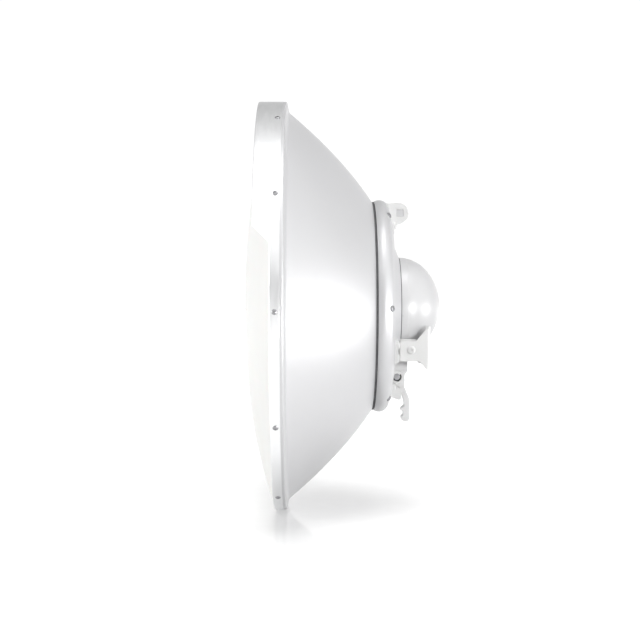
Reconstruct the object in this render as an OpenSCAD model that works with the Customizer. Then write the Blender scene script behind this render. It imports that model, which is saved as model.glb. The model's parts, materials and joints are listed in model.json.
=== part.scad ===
// Outdoor wireless bridge: a deep dish with a shielding rim, a domed cover,
// a radio under a rear dome, and a bracket that bolts to a pole clamp.
// Millimetres. +Z is up and the beam leaves along -X. The origin is midway
// between the two bolt holes, on the rear face of the pole bracket.

/* [Reflector] */
// Radius of the rim
rim_r = 230; // [230:0.5:232]
// Focal length of the paraboloid
focal_length = 90.1; // [89.5:0.1:91]
// Sheet thickness of the dish
dish_wall = 2; // [1.5:0.1:2.2]
// Depth of the shielding band over the upper half
visor_depth = 27.5; // [20:0.5:34]
// Depth of the shielding band over the lower half
band_depth = 10.5; // [9:0.5:12]
// Rivets around the rim
rivet_count = 12; // [8:2:16]

/* [Radome] */
// How far the cover bulges in front of its edge
radome_rise = 32.5; // [20:0.5:40]
// Wall of the cover
radome_wall = 2.5; // [2:0.1:3]
// Fullness of the bulge: 2 is a plain bowl, and more is flatter in the middle
radome_power = 2.6; // [2:0.1:3.2]

/* [Hub ring] */
// Outer radius of the stiffening ring
ring_r = 120.6; // [119.5:0.1:122]
// Sheet thickness of the stiffening ring
ring_wall = 2.2; // [1.8:0.1:2.4]
// Screws around the stiffening ring
ring_screw_count = 6; // [4:1:8]

/* [Rear dome] */
// Radius of the rear dome
dome_r = 55.2; // [54.6:0.1:55.6]
// Depth of the rear dome's rounded part
dome_rise = 44.9; // [42:0.1:46]
// Wall of the rear dome
dome_wall = 2.5; // [2:0.1:2.6]

/* [Mount] */
// Height of the dish's axis above the bolt holes
axis_height = 58; // [56:0.5:60]
// Distance between the two bolt holes
bolt_spacing = 68; // [62:1:72]
// Radius of the bolt holes
bolt_hole_r = 4.5; // [4:0.1:5]
// Sheet thickness of the pole bracket
bracket_wall = 3; // [2.5:0.1:3]
// Side of the square holes in the upper lug
square_hole = 8.3; // [6.5:0.1:9]

/* [Latch] */
// Width of the release lever
lever_w = 16; // [12:1:17]
// Radius of the lever's pin
latch_pin_r = 2; // [1.6:0.1:2.2]

/* [Hidden] */
$fn = 96;

// Colours of the finishes
paint_grey = [0.86, 0.86, 0.87];
bare_aluminium = [0.76, 0.77, 0.78];
warm_white = [0.93, 0.93, 0.90];
white_coat = [0.92, 0.92, 0.92];
steel = [0.60, 0.61, 0.62];
black_oxide = [0.12, 0.12, 0.13];
rubber = [0.16, 0.16, 0.17];
board_green = [0.10, 0.35, 0.20];
black_plastic = [0.08, 0.08, 0.09];
white_ptfe = [0.95, 0.95, 0.94];
clear_plastic = [0.80, 0.90, 0.95];

slip = 0.05;        // radial running clearance of a pin in its bore

// Reflector, in the head frame: the dish's axis is the X axis
vertex_x = -25;             // where the paraboloid would meet the axis
dish_r = rim_r - 13;        // where the curve ends and the flange starts
dish_hole_r = 40;
land_r = 56;                // flat seat for the radio
land_x = -33;
socket_r = 52;              // outside of the flange that carries the radio
dish_steps = 28;
curve_start_r = land_r + 0.2;
dish_radii = [for (i = [0 : dish_steps]) curve_start_r + i * (dish_r - curve_start_r) / dish_steps];
function dish_x(r) = vertex_x - r * r / (4 * focal_length);
function dish_slope(r) = r / (2 * focal_length);
function dish_normal(r) = [dish_slope(r), 1] / norm([dish_slope(r), 1]);
flange_x = dish_x(dish_r) - 1.4;
bead_corner_r = 3.1;        // rounded corner at the back of the rim
seat_x = flange_x - 5.4;    // back edge of the band
band_front_x = seat_x - band_depth;
visor_front_x = seat_x - visor_depth;
band_wall = 1.8;
return_r = rim_r - 2;       // outside of the dish's own forward return
return_depth = 9;
rivet_x = seat_x - 4.8;
rivet_r = 1.6;

// Cover
skirt_r = rim_r - 4.3;
skirt_back_x = seat_x - 0.8;
radome_front_x = seat_x - 10.2;
radome_steps = 26;
function radome_x(r) = radome_front_x - radome_rise * (1 - pow(r / skirt_r, radome_power));

// Stiffening ring
ring_face_x = -42;          // flat rear face that the lugs bolt to
ring_inner_r = 79;
ring_bulge_r = 10.5;
ring_bulge = [ring_r - ring_bulge_r, -55.5];
ring_flat_r = 100;
ring_lip_angle = -35;
screw_angle = 55;           // where the ring screws sit on the bulge
screw_seat = 0.5;           // depth of the flat under each screw head
screw_head_r = 3.3;
ring_screw_r = 1.75;
anchor_r = 3.4;             // round nuts behind the ring screws
foot_wall = 3;

// Radio
dome_back_x = land_x + 0.8;     // the gasket is 0.8 thick
dome_centre_x = -30.9;
dome_steps = 22;
chassis_x = -29;
board_x = -21;
board_wall = 1.6;
board_r = 45;
port = [-22.5, -7.5];       // the port housing from front to back
port_half_w = 19;
port_floor_z = -56;
port_wall = 1.8;
jack_x = board_x + board_wall;
jack_depth = 9.8;
jack_y = [-13, 3];
button_pos = [-14.5, 10];
button_r = 1.8;
light_xs = [-19.4, -16, -12.6];
light_y = 15.4;
light_r = 0.9;
door_axis = [port_half_w + 1.6, port_floor_z - 0.9];
door_knuckle_r = 1.5;
knuckle_w = 2.6;
door_pin_r = 0.75;
socket_screw_r = 2;
board_screw_r = 1.25;
seat_on_dome_x = -25;
vent_r = 3.2;
ground_head_r = 3;

// Pole bracket, tilt pivot and lugs
pivot = [-21.8, -47.6];
pivot_r = 3;
lug_y = [42.5, 46];
washer_wall = 1;
wing_y = [lug_y[1] + washer_wall, lug_y[1] + washer_wall + bracket_wall];
notch_r = 50;               // clears the rear dome
pole_bolt_z = -axis_height;

// Latch
latch_pivot = [-35, -80];
ear_y = [12.5, 15];
spring_wire_r = 0.8;
spring_y = lever_w / 2 + 0.4 + spring_wire_r;   // middle of the first turn
spring_coil_r = latch_pin_r + 1.7 + spring_wire_r;
spring_window_r = [latch_pin_r + 1.1, spring_coil_r + 1];
clip_y = ear_y[1] + 0.1;

// Screw places, as [y, z] in the head frame
lug_screw_spots = [for (s = [-1, 1], p = [[85, -40], [76, -54]]) [s * p[0], p[1]]];
foot_screw_spots = [[-20.5, 90.7], [0, 93], [20.5, 90.7]];
latch_screw_spots = [for (p = foot_screw_spots) [p[0], -p[1]]];
ring_face_spots = concat(lug_screw_spots, foot_screw_spots, latch_screw_spots);
m5_r = 2.5;

// ---------- helpers ----------

// Turns a lathe shape so that its axis lies along X
module axial() rotate([0, 90, 0]) children();

// Puts a shape of the head frame into the part's frame
module head() translate([0, 0, axis_height]) children();

// Lathe shape about the X axis from points [radius, x]
module lathe(points) axial() rotate_extrude() polygon(points);

// Disc or ring about the X axis from x0 to x1
module washer(r_out, r_in, x0, x1)
    lathe([[r_in, x0], [r_out, x0], [r_out, x1], [r_in, x1]]);

// Plain cylinder along X
module rod_x(r, x0, x1) translate([x0, 0, 0]) axial() cylinder(r = r, h = x1 - x0);

// Plain cylinder along Y at a place [x, z]
module rod_y(r, y0, y1, at)
    translate([at[0], y0, at[1]]) rotate([-90, 0, 0]) cylinder(r = r, h = y1 - y0);

// Plate in the XZ plane from y0 to y1 with an outline of points [x, z]
module side_plate(points, y0, y1)
    translate([0, y1, 0]) rotate([90, 0, 0]) linear_extrude(y1 - y0) polygon(points);

// The same plate on both sides of the middle, between y0 and y1 from it
module side_pair(points, y0, y1) {
    side_plate(points, y0, y1);
    side_plate(points, -y1, -y0);
}

// Plate in the YZ plane from x0 to x1 with an outline of points [y, z]
module face_plate(points, x0, x1)
    translate([x0, 0, 0]) rotate([90, 0, 90]) linear_extrude(x1 - x0) polygon(points);

// Box between two corners
module block(low, high) translate(low) cube(high - low);

// Arc of points about a centre
function arc(centre, r, from, to, n = 6) =
    [for (i = [0 : n]) let (a = from + (to - from) * i / n) centre + r * [cos(a), sin(a)]];

// Outline of points [u, v, corner radius] with its corners rounded
function unit(v) = v / norm(v);
function corner(before, at, after, r, n = 4) =
    let (a = unit(before - at), b = unit(after - at),
         half = acos(a * b) / 2,
         centre = at + unit(a + b) * r / sin(half),
         start = at + a * r / tan(half) - centre,
         end = at + b * r / tan(half) - centre,
         from = atan2(start[1], start[0]),
         turn = atan2(start[0] * end[1] - start[1] * end[0], start * end))
    [for (i = [0 : n]) centre + r * [cos(from + turn * i / n), sin(from + turn * i / n)]];
function flat(p) = [p[0], p[1]];
function rounded(points) =
    let (n = len(points))
    [for (i = [0 : n - 1])
        let (p = points[i])
        each (p[2] > 0
            ? corner(flat(points[(i + n - 1) % n]), flat(p), flat(points[(i + 1) % n]), p[2])
            : [flat(p)])];

// Everything in front of the dish's rear face
module dish_core() lathe(concat(
    [[0, visor_front_x - 60], [0, dish_x(dish_radii[0])]],
    [for (r = dish_radii) [r, dish_x(r)]],
    [[dish_r, visor_front_x - 60]]));

// Outside of the stiffening ring, filled to the axis and grown by a gap
function ring_contour(grow) = concat(
    arc(ring_bulge, ring_bulge_r + grow, ring_lip_angle, 90, 12),
    [[ring_flat_r, ring_face_x + grow]]);
module ring_core(grow = 0) lathe(concat(
    [[0, ring_bulge[1] - 10]], ring_contour(grow), [[0, ring_face_x + grow]]));

// Pan-head screw along X with its head's seat at x = 0 and its shank towards -X
module pan_screw(r, length, head_r, head_h) {
    recess_r = head_r * 0.45;
    difference() {
        lathe(concat(
            [[0, -length], [r, -length], [r, 0], [head_r, 0]],
            arc([head_r - head_h * 0.7, head_h * 0.3], head_h * 0.7, 0, 90, 4),
            [[0, head_h]]));
        translate([head_h * 0.45, 0, 0]) axial() cylinder(r = recess_r, h = head_h, $fn = 6);
    }
}

// Places for the rim rivets and for the ring screws, with +X out of the surface
module at_rim_rivets() for (i = [0 : rivet_count - 1])
    rotate([360 * i / rivet_count, 0, 0]) translate([rivet_x, rim_r, 0])
        rotate([0, 0, 90]) children();
module at_ring_screws() for (i = [0 : ring_screw_count - 1])
    rotate([360 * i / ring_screw_count, 0, 0]) translate([ring_bulge[1], ring_bulge[0], 0])
        rotate([0, 0, 90 - screw_angle]) translate([ring_bulge_r - screw_seat, 0, 0])
            children();
module at_spots(spots, x) for (p = spots) translate([x, p[0], p[1]]) children();

// Places on the diagonals, for the radio's screws and the board's standoffs
module at_diagonals(r) for (a = [45, 135, 225, 315]) rotate([a, 0, 0]) translate([0, r, 0]) children();
module at_socket_screws() at_diagonals(46) children();
module at_standoffs() at_diagonals(40) children();

// ---------- front: cover, band and dish ----------

module radome() color(warm_white) head() difference() {
    inner_r = skirt_r - radome_wall;
    radii = [for (i = [0 : radome_steps]) pow(i / radome_steps, 0.8)];
    lathe(concat(
        [for (t = radii) [t * skirt_r, radome_x(t * skirt_r)]],
        [[skirt_r, skirt_back_x], [inner_r, skirt_back_x]],
        [for (i = [radome_steps : -1 : 0])
            let (t = radii[i]) [t * inner_r, radome_x(t * skirt_r) + radome_wall]]));
    at_rim_rivets() rod_x(rivet_r + 0.1, -10, 1);
}

module radome_gasket() color(rubber) head()
    washer(skirt_r - 0.2, skirt_r - 6.2, skirt_back_x, flange_x - 4);

module rim_band() color(bare_aluminium) head() difference() {
    lathe([[rim_r - band_wall, seat_x - 0.1], [rim_r, seat_x - 0.1],
           [rim_r, visor_front_x + 0.6], [rim_r - 0.5, visor_front_x],
           [rim_r - band_wall, visor_front_x]]);
    // The band is deep over the top and steps back below a slanted cut on each side
    cut_top = 84;
    cut_low = cut_top - (visor_depth - band_depth);
    side_plate([[band_front_x, cut_low], [visor_front_x, cut_top], [visor_front_x - 5, cut_top],
                [visor_front_x - 5, -rim_r - 5], [band_front_x, -rim_r - 5]], -rim_r - 5, rim_r + 5);
    at_rim_rivets() rod_x(rivet_r + 0.1, -4, 1);
}

module rim_rivets() color(steel) head() at_rim_rivets() difference() {
    lathe([[0, -7.6], [rivet_r, -7.6], [rivet_r, 0], [2.9, 0], [2.6, 0.9], [1.2, 1.3], [0, 1.3]]);
    rod_x(0.8, -6, 2);
}

module reflector_dish() color(paint_grey) head() difference() {
    rear = concat(
        [[dish_hole_r, land_x], [land_r, land_x]],
        [for (r = dish_radii) [r, dish_x(r)]],
        [[dish_r + 2, flange_x], [rim_r - bead_corner_r - 0.1, flange_x - 1.9]],
        arc([rim_r - bead_corner_r - 0.1, flange_x - 5], bead_corner_r, 90, 0, 5),
        [[rim_r - 0.1, seat_x], [return_r, seat_x], [return_r, seat_x - return_depth]]);
    front = concat(
        [[return_r - dish_wall, seat_x - return_depth], [return_r - dish_wall, flange_x - 4],
         [dish_r + 1, flange_x - 4]],
        [for (i = [dish_steps : -1 : 0]) let (r = dish_radii[i], n = dish_normal(r))
            [r - dish_wall * n[0], dish_x(r) - dish_wall * n[1]]],
        [[socket_r, land_x - dish_wall], [dish_hole_r, land_x - dish_wall]]);
    lathe(concat(rear, front));
    at_rim_rivets() rod_x(rivet_r + 0.1, -10, 1);
    at_socket_screws() rod_x(socket_screw_r + 0.1, land_x - 5, land_x + 1);
}

// ---------- stiffening ring ----------

module hub_ring() color(paint_grey) head() difference() {
    lathe(concat(
        ring_contour(0),
        [[ring_inner_r, ring_face_x], [ring_inner_r, ring_face_x - ring_wall],
         [ring_flat_r, ring_face_x - ring_wall]],
        arc(ring_bulge, ring_bulge_r - ring_wall, 90, ring_lip_angle, 12)));
    dish_core();
    at_ring_screws() union() {
        rod_x(ring_screw_r + 0.15, -8, 3);
        rod_x(screw_head_r + 0.2, 0, 3);
    }
    at_spots(ring_face_spots, 0) rod_x(m5_r, ring_face_x - 5, ring_face_x + 1);
}

module hub_ring_bead() color(rubber) head() difference() {
    lathe([[113.4, -66], [118.4, -66], [118.4, -62], [116.2, -61], [115.4, -57], [113.4, -57]]);
    dish_core();
}

module hub_ring_screws() color(steel) head() at_ring_screws()
    pan_screw(ring_screw_r, 9, screw_head_r, 2.2);

module ring_anchors() color(steel) head() difference() {
    at_ring_screws() difference() {
        rod_x(anchor_r, -14, -ring_wall - 0.7);
        rod_x(ring_screw_r, -9, 0);
    }
    dish_core();
}

module clinch_nuts() color(steel) head()
    at_spots(ring_face_spots, ring_face_x - ring_wall) washer(4, m5_r, -2.4, 0);

// ---------- feed ----------

module feed_tube() color(bare_aluminium) head() difference() {
    union() {
        washer(17, 15, -104, -38);
        washer(50, 15, -38, land_x - dish_wall);
    }
    at_socket_screws() rod_x(socket_screw_r + 0.1, -40, -30);
}

module feed_cone() color(white_ptfe) head()
    lathe([
        [0, -90], [6, -96], [14.8, -98], [14.8, -104],
        [17, -104], [22, -112], [31, -121], [0, -121]]);

module sub_reflector() color(bare_aluminium) head() difference() {
    lathe([[0, -121], [34, -121], [34, -126], [12, -127.5], [0, -127.5]]);
    for (r = [20, 25, 30]) washer(r + 1.2, r - 1.2, -130, -124);
}

// ---------- radio ----------

module radio_socket() color(bare_aluminium) head() difference() {
    washer(socket_r, socket_r - 10, land_x, chassis_x);
    at_socket_screws() rod_x(socket_screw_r, land_x - 1, chassis_x + 1);
}

module socket_screws() color(steel) head() at_socket_screws()
    translate([-38, 0, 0]) mirror([1, 0, 0]) pan_screw(socket_screw_r, 8.6, 3.6, 2.4);

module orthomode_block() color(bare_aluminium) head() difference() {
    union() {
        rod_x(22, -34.4, chassis_x);
        block([-34, -9, -32], [chassis_x, 9, 32]);
    }
    rod_x(14.5, -40, -31);
}

module radio_chassis() color(bare_aluminium) head() difference() {
    union() {
        rod_x(socket_r - 1, chassis_x, chassis_x + 3);
        for (a = [15 : 60 : 315]) rotate([a, 0, 0])
            block([chassis_x + 2, 16, -1], [chassis_x + 5, 34, 1]);
    }
    block([-30, -16, -60], [-20, 16, -44]);
}

module board_standoffs() color(steel) head() at_standoffs()
    washer(3, board_screw_r, chassis_x + 3, board_x);

module main_board() color(board_green) head() difference() {
    rod_x(board_r, board_x, board_x + board_wall);
    at_standoffs() rod_x(board_screw_r + 0.35, -25, -15);
}

module board_screws() color(steel) head() at_standoffs()
    translate([board_x + board_wall, 0, 0]) pan_screw(board_screw_r, 5.6, 2.4, 1.6);

module shield_can() color(steel) head() difference() {
    x0 = board_x + board_wall;
    block([x0, -20, -12], [x0 + 4, 20, 28]);
    block([x0 - 1, -19.6, -11.6], [x0 + 3.6, 19.6, 27.6]);
}

module heat_sink() color(bare_aluminium) head() {
    x0 = board_x + board_wall + 4;
    block([x0, -21, -12], [x0 + 3, 21, 28]);
    for (i = [-3 : 3]) block([x0 + 2, i * 6.5 - 1, -12], [x0 + 13, i * 6.5 + 1, 28]);
}

module ethernet_jack() color(black_plastic) head() difference() {
    block([jack_x, jack_y[0], -54], [jack_x + jack_depth, jack_y[1], -37]);
    block([jack_x + 1.6, jack_y[0] + 2.1, -55], [jack_x + jack_depth - 1.6, jack_y[1] - 2.1, -43]);
}

module reset_switch() color(black_plastic) head()
    block([jack_x, button_pos[1] - 3, -48.4], [jack_x + 8, button_pos[1] + 3, -42.4]);

module reset_button() color(black_plastic) head()
    translate([button_pos[0], button_pos[1], 0]) {
        translate([0, 0, port_floor_z + 0.2]) cylinder(r = button_r, h = 5.8);
        translate([0, 0, port_floor_z + port_wall + 0.1]) cylinder(r = button_r + 1, h = 1);
    }

module status_lights() color(clear_plastic) head() for (x = light_xs)
    translate([x, light_y, port_floor_z]) cylinder(r = light_r, h = 6);

// Seats low on the dome's flanks, with +X out of the surface
module at_flank(angle) rotate([angle, 0, 0]) translate([seat_on_dome_x, 0, -dome_r + 1.6])
    rotate([0, 90, 0]) children();
module at_vent() at_flank(-35) children();
module at_ground() at_flank(35) children();

module at_door_axis() translate([0, door_axis[0], door_axis[1]]) children();

function dome_profile(shrink) =
    [for (i = [0 : dome_steps]) let (a = 90 * i / dome_steps)
        [(dome_r - shrink) * cos(a), dome_centre_x + (dome_rise - shrink) * sin(a)]];

module dome_solid(shrink, back_x) lathe(concat(
    [[0, back_x], [dome_r - shrink, back_x]], dome_profile(shrink)));

module port_room() block(
    [port[0] + port_wall, -port_half_w + port_wall, port_floor_z + port_wall],
    [port[1] - port_wall, port_half_w - port_wall, -36]);

module rear_dome() color(paint_grey) head() difference() {
    union() {
        difference() {
            union() {
                dome_solid(0, dome_back_x);
                block([port[0], -port_half_w, port_floor_z], [port[1], port_half_w, -34]);
                // Catch for the release lever
                block([-32.1, -7, -60.4], [-27.6, 7, -53.4]);
            }
            dome_solid(dome_wall, dome_back_x - 1);
            port_room();
        }
        // Hinge knuckles for the port door
        for (x = [port[0], port[1] - knuckle_w]) {
            at_door_axis() rod_x(door_knuckle_r, x, x + knuckle_w);
            block(
                [x, port_half_w - 0.5, door_axis[1]],
                [x + knuckle_w, door_axis[0], door_axis[1] + door_knuckle_r]);
        }
    }
    // Socket opening, button hole, light holes and hinge pin hole
    block(
        [jack_x + 0.9, jack_y[0] + 1.6, port_floor_z - 1],
        [jack_x + jack_depth - 1.1, jack_y[1] - 1.6, port_floor_z + 3]);
    translate([button_pos[0], button_pos[1], port_floor_z - 1])
        cylinder(r = button_r + 2 * slip, h = 4);
    for (x = light_xs) translate([x, light_y, port_floor_z - 1]) cylinder(r = light_r, h = 4);
    at_door_axis() rod_x(door_pin_r, port[0] - 1, port[1] + 1);
    // Pry notches in the rim
    for (s = [-1, 1]) rotate([s * 11 + 90 - s * 90, 0, 0])
        translate([0, -dome_r, 0]) block([dome_back_x - 1, -1, -1.6], [dome_back_x + 1, 1, 1.6]);
    // Flat seats for the vent and the earth screw
    at_vent() rod_x(vent_r, 0, 6);
    at_ground() union() {
        rod_x(ground_head_r, 0, 6);
        rod_x(1.5, -5, 1);
    }
}

module dome_gasket() color(rubber) head() washer(dome_r - 0.1, dome_r - 3, land_x, dome_back_x);

module port_door() color(paint_grey) head() difference() {
    union() {
        block(
            [port[0] + 1.6, -port_half_w, port_floor_z - 1.9],
            [port[1] - 0.6, port_half_w - 0.6, port_floor_z - 0.2]);
        block(
            [port[0] + 3, port_half_w - 0.7, door_axis[1] - 1],
            [port[1] - 3, door_axis[0], door_axis[1] + 0.5]);
        at_door_axis() rod_x(door_knuckle_r, port[0] + knuckle_w + 0.3, port[1] - knuckle_w - 0.3);
    }
    at_door_axis() rod_x(door_pin_r + slip, port[0], port[1]);
}

module port_door_pin() color(steel) head() at_door_axis()
    rod_x(door_pin_r, port[0] - 0.4, port[1] + 0.4);

module breather_vent() color(black_plastic) head() at_vent() rod_x(vent_r, 0, 2.6);

module ground_screw() color(steel) head() at_ground() pan_screw(1.5, 2.4, ground_head_r, 2.4);

// ---------- tilt lugs and pole bracket ----------

// Lug on the +Y side: a foot on the ring's face, a strap from it to the wall, and the wall
module tilt_lug() color(white_coat) head() difference() {
    low = -60.5;
    wall_top = -35.6;
    strap_top = -52;
    strap_x = -36.6;            // clears the wing's front edge when the dish tilts
    strap = [
        [strap_x - 3, lug_y[0]], [strap_x - 3, 57], [ring_face_x, 66], [ring_face_x, 80],
        [ring_face_x + foot_wall, 80], [ring_face_x + foot_wall, 66.6], [strap_x, 57.6],
        [strap_x, lug_y[0]]];
    wall = rounded([
        [strap_x - 3, low, 0], [strap_x - 3, wall_top, 0], [-15.9, wall_top, 1.5],
        [-11.8, -46, 3], [-11.8, low, 9.9]]);
    union() {
        intersection() {
            washer(ring_flat_r - 0.5, ring_inner_r + 0.5, ring_face_x, ring_face_x + foot_wall);
            block([-60, 60, low], [0, 92, wall_top]);
        }
        translate([0, 0, low]) linear_extrude(strap_top - low) polygon(strap);
        side_plate(wall, lug_y[0], lug_y[1]);
    }
    dish_core();
    ring_core();
    rod_y(pivot_r + slip, 30, 60, pivot);
    at_spots(lug_screw_spots, 0) rod_x(m5_r, -50, -30);
}
module tilt_lug_right() tilt_lug();
module tilt_lug_left() mirror([0, 1, 0]) tilt_lug();

module lug_screws() color(white_coat) head()
    at_spots(lug_screw_spots, ring_face_x + foot_wall) pan_screw(m5_r, 7.6, 4.4, 2.6);

// Section of the pole bracket from above: two wings folded forward from its back plate
module bracket_section() {
    front = -60;
    inner_fold_r = 1;
    difference() {
        polygon(rounded([
            [front, -wing_y[1], 0], [0, -wing_y[1], inner_fold_r + bracket_wall],
            [0, wing_y[1], inner_fold_r + bracket_wall], [front, wing_y[1], 0]]));
        polygon(rounded([
            [front - 1, -wing_y[0], 0], [-bracket_wall, -wing_y[0], inner_fold_r],
            [-bracket_wall, wing_y[0], inner_fold_r], [front - 1, wing_y[0], 0]]));
    }
}

module pole_bracket() color(white_coat) head() difference() {
    plate_low = -69;
    plate_top = -21.8;
    wing = rounded([
        [-34, -60.2, 2], [-34, -37.5, 2], [-16.2, -37.5, 3], [-2.6, plate_top, 0],
        [0, plate_top, 0], [0, plate_low, 0], [-5, plate_low, 0], [-12.3, -60.2, 2]]);
    intersection() {
        translate([0, 0, plate_low - 1]) linear_extrude(plate_top - plate_low + 2) bracket_section();
        side_plate(wing, -60, 60);
    }
    rod_x(notch_r, -20, 20);
    rod_y(pivot_r + slip, -60, 60, pivot);
    for (s = [-1, 1]) translate([0, s * bolt_spacing / 2, pole_bolt_z]) rod_x(bolt_hole_r, -10, 10);
}

module at_pivots() for (a = [90, 270])
    translate([pivot[0], 0, pivot[1]]) rotate([0, 0, a]) children();

module pivot_bolts() color(white_coat) head() at_pivots()
    translate([wing_y[1], 0, 0]) pan_screw(pivot_r, wing_y[1] - lug_y[0] + 5, 4.6, 2.4);

module pivot_washers() color(black_plastic) head() at_pivots()
    washer(8, pivot_r, lug_y[1], wing_y[0]);

module pivot_nuts() color(steel) head() at_pivots() difference() {
    translate([lug_y[0] - 4.4, 0, 0]) axial() cylinder(r = 5.6, h = 4.3, $fn = 6);
    rod_x(pivot_r, 30, 50);
}

// ---------- upper lug ----------

// Foot of the upper lug (up = 1) and of the latch bracket (up = -1), from a height of inner
module foot_base(up, inner) difference() {
    foot = [
        [-24.5, up * inner, 3], [24.5, up * inner, 3],
        [24.5, up * 96, 3], [-24.5, up * 96, 3]];
    face_plate(rounded(foot), ring_face_x, ring_face_x + foot_wall);
    at_spots([for (p = foot_screw_spots) [p[0], up * p[1]]], 0) rod_x(m5_r, -50, -30);
}

module upper_lug() color(white_coat) head() difference() {
    centre = [-34.1, 104.9];
    ear_r = 11.5;
    ear = concat([[-50, centre[1] - ear_r], [-50, centre[1] + ear_r]], arc(centre, ear_r, 90, -90, 16));
    union() {
        foot_base(1, 81);
        side_pair(ear, 14, 17.5);
        // Rib that ties the two ears together behind the foot
        block([ring_face_x, -15, 93.4], [ring_face_x + foot_wall, 15, 97]);
    }
    ring_core();
    at_spots(foot_screw_spots, 0) rod_x(m5_r, -50, -30);
    square_bar(-30, 30);
}

// Bar that fills the square holes from y0 to y1
module square_bar(y0, y1) {
    hole = [-32.1, 105.2];
    half = square_hole / 2;
    block([hole[0] - half, y0, hole[1] - half], [hole[0] + half, y1, hole[1] + half]);
}

module hole_plugs() color(paint_grey) head() {
    depth = [14.6, 16.6];
    square_bar(depth[0], depth[1]);
    square_bar(-depth[1], -depth[0]);
}

module upper_lug_screws() color(white_coat) head()
    at_spots(foot_screw_spots, ring_face_x + foot_wall) pan_screw(m5_r, 7.6, 4.2, 2.6);

// ---------- latch ----------

module latch_bracket() color(white_coat) head() difference() {
    ear = rounded([[-45, -72.4, 0], [-26.2, -75.6, 2], [-26.2, -90, 3], [-30.2, -95, 2],
        [-30.2, -107, 2], [-45, -102.6, 0]]);
    union() {
        foot_base(-1, 86);
        side_pair(ear, ear_y[0], ear_y[1]);
    }
    dish_core();
    ring_core();
    rod_y(latch_pin_r, -20, 20, latch_pivot);
    // Window around the spring's lower half, and a relief slit below it
    window = concat(
        arc(latch_pivot, spring_window_r[1], 195, 395, 16),
        arc(latch_pivot, spring_window_r[0], 395, 195, 16));
    side_plate(window, -20, 20);
    side_plate([[-38.8, -88.3], [-31, -92.1], [-31, -93], [-38.8, -89.2]], -20, 20);
    at_spots(latch_screw_spots, 0) rod_x(m5_r, -50, -30);
}

module latch_bracket_screws() color(white_coat) head()
    at_spots(latch_screw_spots, ring_face_x + foot_wall) pan_screw(m5_r, 7.6, 4.2, 2.6);

module latch_lever() color(white_coat) head() difference() {
    outline = rounded([
        [-35.4, -63, 1], [-27, -62, 0.3], [-26.7, -57.4, 0.8], [-23.4, -57.6, 1.2], [-22.4, -63, 1],
        [-22.4, -74, 1.5], [-26.4, -80, 2], [-26.4, -91, 6], [-20.3, -106, 8], [-20.3, -128, 2],
        [-21.6, -131.4, 1], [-26.6, -131.4, 1.5], [-29.3, -129.4, 1], [-29.3, -126.6, 1],
        [-27, -124.6, 1], [-27, -121, 1], [-29.6, -119.4, 0.9], [-29.6, -117, 0.9],
        [-25.6, -113.6, 1.5], [-26.6, -107.4, 3], [-30.4, -96, 3], [-33.4, -86, 0]]);
    boss = arc(latch_pivot, 3.6, -70, -210, 8);
    side_plate(concat(outline, boss, [[-38, -75], [-37.6, -68]]), -lever_w / 2, lever_w / 2);
    rod_y(latch_pin_r + slip, -20, 20, latch_pivot);
}

module latch_pin() color(steel) head() rod_y(latch_pin_r, -clip_y - 1.6, clip_y + 1.6, latch_pivot);

module latch_spring() color(black_oxide) head() {
    turns = 2;
    turn_pitch = 1.5;
    for (s = [-1, 1], i = [0 : turns - 1])
        translate([latch_pivot[0], s * (spring_y + i * turn_pitch), latch_pivot[1]])
            rotate([90, 0, 0]) rotate_extrude() translate([spring_coil_r, 0]) circle(r = spring_wire_r);
    for (s = [-1, 1])
        translate([latch_pivot[0] - 4.6, s * spring_y, latch_pivot[1] - 1.6])
            rotate([0, 118, 0]) cylinder(r = spring_wire_r, h = 15);
}

module latch_pin_clips() color(steel) head() for (s = [-1, 1])
    translate([latch_pivot[0], 0, latch_pivot[1]]) rotate([0, 0, s * 90])
        washer(latch_pin_r + 1.6, latch_pin_r, clip_y, clip_y + 0.7);

radome();
radome_gasket();
rim_band();
rim_rivets();
reflector_dish();
hub_ring();
hub_ring_bead();
hub_ring_screws();
ring_anchors();
feed_tube();
feed_cone();
sub_reflector();
radio_socket();
socket_screws();
orthomode_block();
radio_chassis();
board_standoffs();
main_board();
board_screws();
shield_can();
heat_sink();
ethernet_jack();
reset_switch();
reset_button();
status_lights();
rear_dome();
dome_gasket();
port_door();
port_door_pin();
breather_vent();
ground_screw();
tilt_lug_left();
tilt_lug_right();
lug_screws();
clinch_nuts();
pole_bracket();
pivot_bolts();
pivot_washers();
pivot_nuts();
upper_lug();
upper_lug_screws();
hole_plugs();
latch_bracket();
latch_bracket_screws();
latch_lever();
latch_pin();
latch_spring();
latch_pin_clips();
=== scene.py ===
"""Looks of an outdoor wireless bridge: a shielded dish, a radio under a dome, and a tilting pole bracket.

Everything is in metres, in the part's own frame: +Z is up and the beam leaves along -X. The dish turns about
an axis that lies along X, above the origin.
"""

from __future__ import annotations

import json
import logging
import math
from collections.abc import Callable, Iterable, Sequence
from dataclasses import dataclass, field
from enum import Enum

import bmesh
import bpy
from mathutils import Matrix, Vector

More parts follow.
